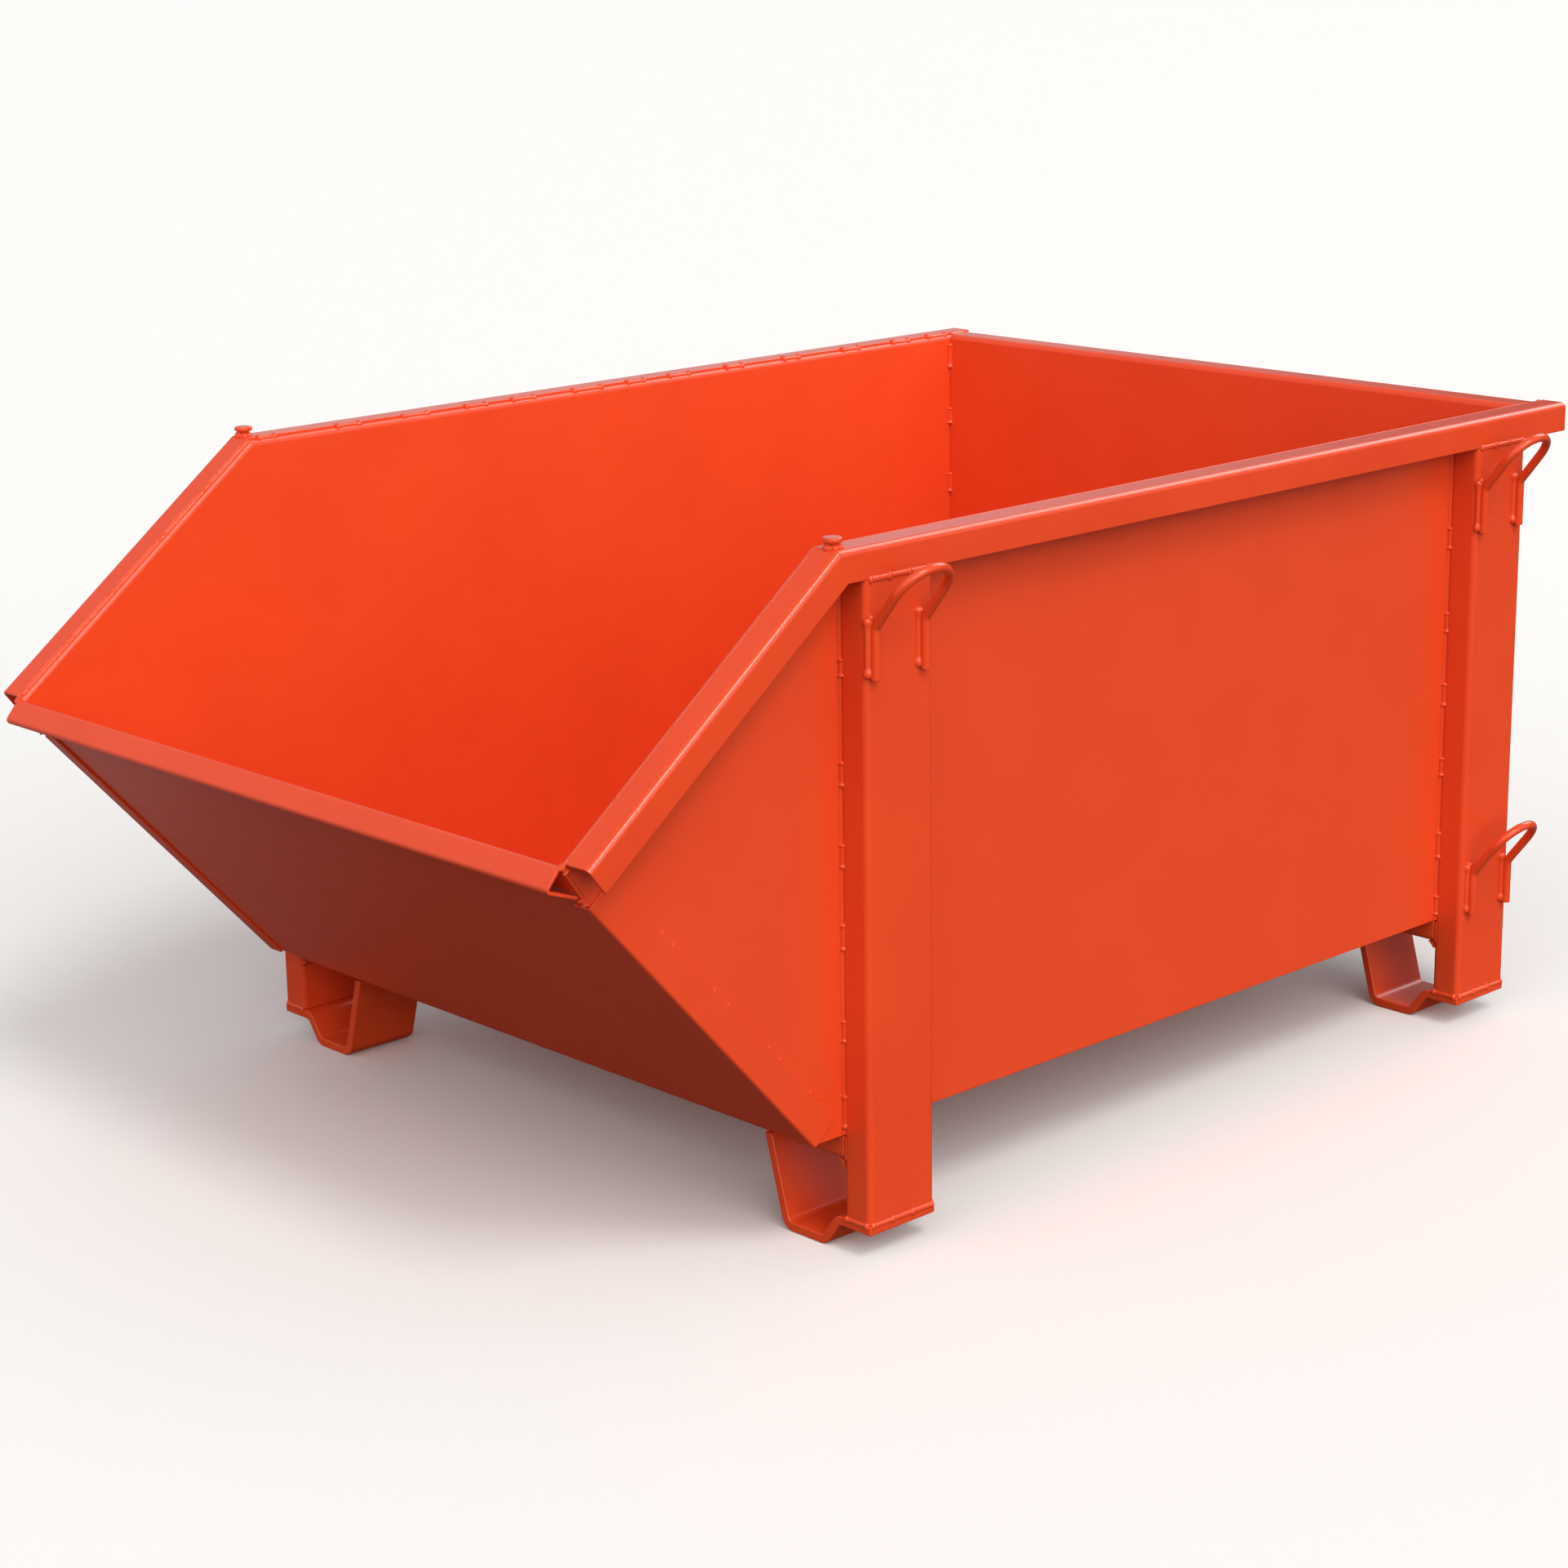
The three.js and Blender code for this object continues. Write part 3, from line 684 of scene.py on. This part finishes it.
BAR = 0.006                # radius
BAR_SIDES = 24
BAR_EDGE = 0.0009
BAR_SEAT = 0.0003          # gap of weld between bar and post
HALF_SPAN = 0.0415
LEG = 0.062
ARM = 0.050
BEND = 0.014
BEND_STEPS = 6
LOOP_STEPS = 24
RISE = radians(52)
LEG_BEAD_WIDTH = 0.0086
LEG_BEAD_OUT = 0.0010      # the bead's middle, outside the post's face
LEG_BEAD_ASIDE = 0.0068    # and beside the middle of the leg
LEG_BEAD_BEGIN = 0.002
FRONT_BEAD_PAST = 0.012    # the bead in front of a leg climbs this far past its bend
BLOB_OUT = 0.0024
BLOB_AHEAD = 0.0045
BLOB_PAST = 0.0095
BLOB_UNLIKE = 0.002        # the front leg's blob is higher by this much and the rear one's lower
BLOB_SCALE = 1.1

bar_enamel = gloss_enamel("bar_gloss_enamel", "#E54A22", "#DE461E", roughness=0.16,
                          peel_mm=4, peel_depth_mm=0.02, wave_depth_mm=0.0)


def model_eye():
    """Bent bar with its legs' lower ends at Z = 0, its middle at Y = 0 and its legs' axes at X = 0."""
    lean = Vector((cos(RISE), 0, sin(RISE)))
    turned = pi / 2 - RISE
    trim = BEND * sin(turned) / (1 + cos(turned))
    straight = LEG - trim
    loop_middle = Vector((0, 0, LEG)) + lean * ARM
    bpy.ops.object.select_all(action="DESELECT")
    bpy.ops.mesh.primitive_circle_add(vertices=BAR_SIDES, radius=BAR, location=(0, -HALF_SPAN, 0))
    bpy.ops.object.transform_apply(location=True)
    bpy.ops.object.mode_set(mode="EDIT")
    bpy.ops.mesh.select_all(action="SELECT")
    extrude((0, 0, straight))
    bpy.ops.mesh.spin(steps=BEND_STEPS, angle=turned, center=(BEND, -HALF_SPAN, straight), axis=(0, -1, 0))
    extrude(lean * (ARM - trim))
    bpy.ops.mesh.spin(steps=LOOP_STEPS, angle=pi, center=loop_middle, axis=(sin(RISE), 0, -cos(RISE)))
    extrude(-lean * (ARM - trim))
    bpy.ops.mesh.spin(steps=BEND_STEPS, angle=turned, center=(BEND, HALF_SPAN, straight), axis=(0, 1, 0))
    extrude((0, 0, -straight))
    bpy.ops.mesh.select_all(action="SELECT")
    bpy.ops.mesh.remove_doubles(threshold=SAME_PLACE)
    bpy.ops.mesh.fill_holes(sides=0)
    bpy.ops.mesh.normals_make_consistent(inside=False)
    bpy.ops.object.mode_set(mode="OBJECT")
    eye = bpy.context.object
    round_edges(eye, BAR_EDGE, sharper_than=60, segments=2)
    return eye


def weld_leg(runs, facing, leg_side, place):
    leg = place.y + leg_side * HALF_SPAN
    leg_top = place.z + LEG
    out = facing * (outer + LEG_BEAD_OUT)
    for bead_side, past in ((-1, FRONT_BEAD_PAST), (1, 0)):
        along = leg + bead_side * LEG_BEAD_ASIDE
        lay_run(runs, (out, along, place.z + LEG_BEAD_BEGIN), (out, along, leg_top + past),
                (facing, bead_side * 0.7, 0), LEG_BEAD_WIDTH)
    blob = (facing * (outer + BLOB_OUT), leg - BLOB_AHEAD, leg_top + BLOB_PAST - leg_side * BLOB_UNLIKE)
    lay_drop(runs, blob, (facing, -0.3, 0.3), BLOB_SCALE)


eye_pattern = model_eye()

for eye in ("upper_eye_front", "upper_eye_rear", "lower_eye_rear"):
    for side, facing in SIDES:
        low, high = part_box(eye + "_" + side)
        place = Vector((facing * (outer + BAR_SEAT + BAR), (low.y + high.y) / 2, low.z))
        bent = copy_of(eye_pattern, eye + "_bar_" + side)
        bent.data.transform(Matrix.Translation(place) @ Matrix.Diagonal((facing, 1, 1, 1)))
        if facing < 0:
            bent.data.flip_normals()
        finish_piece(bent, bar_enamel, "bar_paint", eye + "_" + side)
        runs = []
        for leg_side in (-1, 1):
            weld_leg(runs, facing, leg_side, place)
        join_runs(runs, eye + "_welds_" + side, "bar_paint")

bpy.data.objects.remove(eye_pattern)


# Stop studs
# A turned stud with a low round head on each rim, just behind the turn. It keeps the feet of a
# stacked container from sliding forwards. Eight short runs of weld form a ring round its neck.

NECK = 0.0065              # radius
NECK_HEIGHT = 0.007
HEAD = 0.012               # radius
HEAD_EDGE = 0.0022
HEAD_INSET = 0.35          # from the head's rim to the inner ring of its top, as a share of its radius
STUD_SIDES = 40
NECK_RUNS = 8
NECK_RUN_WIDTH = 0.0088
NECK_RUN_OUT = 0.0012      # the run's middle, outside the neck
NECK_RUN_LIFT = 0.0014     # and above the rim
NECK_RUN_LAP = 0.15        # share by which a run overlaps the next one
NECK_RUN_LEAN = 0.672      # outwards for 1 upwards


def model_stud(axis, top):
    neck_top = axis.z + NECK_HEIGHT
    stud = upright_bar(STUD_SIDES, NECK, axis.x, axis.y, axis.z, neck_top)
    deselect_parts(stud)
    for face in stud.data.polygons:
        face.select = face.normal.z > 0.9
    bpy.ops.object.mode_set(mode="EDIT")
    bpy.ops.mesh.select_mode(type="FACE")
    extrude((0, 0, 0))
    bpy.ops.transform.resize(value=(HEAD / NECK, HEAD / NECK, 1), center_override=(axis.x, axis.y, neck_top))
    extrude((0, 0, top - neck_top))
    bpy.ops.mesh.inset(thickness=HEAD * HEAD_INSET)
    bpy.ops.object.mode_set(mode="OBJECT")
    round_edges(stud, HEAD_EDGE, sharper_than=50, segments=4)
    return stud


def neck_place(number):
    angle = 2 * pi * number / NECK_RUNS
    return Vector((cos(angle), sin(angle), 0)) * (NECK + NECK_RUN_OUT)


for side in ("right", "left"):
    low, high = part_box("stop_stud_" + side)
    axis = Vector(((low.x + high.x) / 2, (low.y + high.y) / 2, rim_top))
    stud = model_stud(axis, high.z)
    stud.name = stud.data.name = "stop_stud_turned_" + side
    finish_piece(stud, bar_enamel, "bar_paint", "stop_stud_" + side)

    runs = []
    middle = axis + Vector((0, 0, NECK_RUN_LIFT))
    for number in range(NECK_RUNS):
        start = neck_place(number - NECK_RUN_LAP)
        end = neck_place(number + 1 + NECK_RUN_LAP)
        outward = (start + end).normalized() * NECK_RUN_LEAN + Vector((0, 0, 1))
        lay_run(runs, middle + start, middle + end, outward, NECK_RUN_WIDTH)
    join_runs(runs, "stud_weld_" + side, "bar_paint")

bpy.data.objects.remove(weld_run)
bpy.data.objects.remove(weld_drop)


# Ground
# A plain pale studio floor fills the view. The photograph was taken on a dark yard and cut out,
# so the light that comes back up from below is that of a dark, slightly blue tarmac. Beyond the
# left side the tarmac is painted paler, a painted patch of lit ground that the chute's left end mirrors.

GROUND_ROUGHNESS = 0.9


def speckle(tree, place, grains, dark, light):
    """A fine speckle between two tones, with its grains counted per metre."""
    noise = node(tree, "TexNoise", Vector=place, Scale=grains, Detail=2.0)
    tone = node(tree, "ValToRGB", Fac=noise.outputs["Fac"])
    for stop, code in enumerate((dark, light)):
        tone.color_ramp.elements[stop].color = linear(code)
    return tone.outputs["Color"]


def matt_surface(tree, tone):
    surface = node(tree, "BsdfPrincipled", Base_Color=tone, Roughness=GROUND_ROUGHNESS)
    node(tree, "OutputMaterial", Surface=surface.outputs["BSDF"])


studio = new_material("matt_studio_floor")
tree = studio.node_tree
place = node(tree, "TexCoord").outputs["Object"]
matt_surface(tree, speckle(tree, place, grains=60.0, dark="#F8F7F5", light="#FAF9F8"))

tarmac = new_material("dark_tarmac")
tree = tarmac.node_tree
place = node(tree, "TexCoord").outputs["Object"]
stones = speckle(tree, place, grains=80.0, dark="#303236", light="#424449")
across = node(tree, "SeparateXYZ", Vector=place)
# painted light: the tarmac turns pale towards -X, a patch of lit ground that shows as a brighter reflection
# in the chute
painted_lit_ground = node(tree, "MapRange", Value=across.outputs["X"], From_Min=-0.4, From_Max=-2.4, To_Min=0.0, To_Max=1.0)
tone = node(tree, "MixRGB", Fac=painted_lit_ground.outputs["Result"], Color1=stones, Color2=linear("#A3A5AA"))
matt_surface(tree, tone.outputs["Color"])

for name, finish, depth, size in (("studio_floor", studio, 0.0005, 160), ("yard_below", tarmac, 0.002, 60)):
    bpy.ops.object.select_all(action="DESELECT")
    bpy.ops.mesh.primitive_plane_add(size=size, location=(0, 0, -depth))
    ground = bpy.context.object
    ground.name = ground.data.name = name
    ground.data.materials.append(finish)
    ground.visible_shadow = False
    ground.visible_camera = finish == studio
    ground.visible_diffuse = ground.visible_glossy = finish == tarmac


# Light
# Open shade: a white sky, a broad soft lamp from the right, which leaves the ends of the posts
# darker than their sides, and bright clouds higher up that draw a line on every bend. One more
# cloud, behind, shows only in the gloss.

world = bpy.data.worlds.new("soft white sky")
bpy.context.scene.world = world
world.use_nodes = True
tree = world.node_tree
tree.nodes.clear()


def grade(source, low, high, at_low, at_high):
    """A value that goes from one level to another while the source goes from low to high."""
    made = node(tree, "MapRange", Value=source, From_Min=low, From_Max=high, To_Min=at_low, To_Max=at_high)
    return made.outputs["Result"]


def combine(operation, first, second):
    made = node(tree, "Math", operation=operation)
    tree.links.new(first, made.inputs[0])
    tree.links.new(second, made.inputs[1])
    return made.outputs["Value"]


direction = node(tree, "SeparateXYZ", Vector=node(tree, "TexCoord").outputs["Generated"])
by_height = node(tree, "ValToRGB", Fac=direction.outputs["Z"])
stops = by_height.color_ramp.elements
for stop, position, level in ((0, 0.0, 0.6), (1, 0.8, 0.42)):
    stops[stop].position = position
    stops[stop].color = (level, level, level, 1.0)
for position, level in ((0.08, 0.8), (0.3, 0.9)):
    stops.new(position).color = (level, level, level, 1.0)
open_side = grade(direction.outputs["X"], -1.0, 1.0, at_low=0.7, at_high=1.15)
# low trees far behind, which the rear ends of the rims mirror
beside_trees = grade(direction.outputs["Y"], 0.70, 0.83, at_low=1.0, at_high=0.12)
above_trees = grade(direction.outputs["Z"], 0.22, 0.34, at_low=0.0, at_high=1.0)
no_trees = combine("MAXIMUM", beside_trees, above_trees)
open_sky = combine("MULTIPLY", by_height.outputs["Color"], open_side)
glow = combine("MULTIPLY", open_sky, no_trees)
sky = node(tree, "Background", Color=(0.95, 0.97, 1.0, 1.0), Strength=glow)
node(tree, "OutputWorld", Surface=sky.outputs["Background"])

for name, energy, spread, towards in (("broad_key", 1.5, 50, (0.86, -0.24, 0.44)),
                                      ("front_fill", 0.6, 54, (0.28, -0.72, 0.63)),
                                      ("cloud_above", 0.9, 18, (0.55, -0.14, 0.82)),
                                      ("cloud_behind", 1.3, 36, (0.05, 0.75, 0.66))):
    lamp = bpy.data.lights.new(name, "SUN")
    lamp.energy = energy
    lamp.angle = radians(spread)
    lamp.color = (1.0, 0.97, 0.93)
    lit = bpy.data.objects.new(name, lamp)
    bpy.context.scene.collection.objects.link(lit)
    lit.rotation_euler = Vector(towards).to_track_quat("Z", "Y").to_euler()
    lit.visible_diffuse = name != "cloud_behind"


# Viewpoint
# Standing eye level in front of the right-hand corner, through a long lens.

FRAME_PIXELS = 1920
FOCAL_PIXELS = 4203.28
SENSOR_MM = 36
EYE = (3.33537, -3.19251, 1.65473)
BEARING = radians(46.62)   # to the left of +Y
DOWNWARD = radians(15.275)
ROLL = -0.0144

camera = bpy.data.cameras.new("viewpoint")
camera.sensor_width = SENSOR_MM
camera.lens = FOCAL_PIXELS / FRAME_PIXELS * SENSOR_MM
camera.clip_end = 300
viewer = bpy.data.objects.new("viewpoint", camera)
bpy.context.scene.collection.objects.link(viewer)
turned = Matrix.Rotation(BEARING, 4, "Z")
tilted = Matrix.Rotation(pi / 2 - DOWNWARD, 4, "X")
rolled = Matrix.Rotation(ROLL, 4, "Z")
viewer.matrix_world = Matrix.Translation(EYE) @ turned @ tilted @ rolled
bpy.context.scene.camera = viewer

bpy.context.scene.view_settings.view_transform = "Standard"
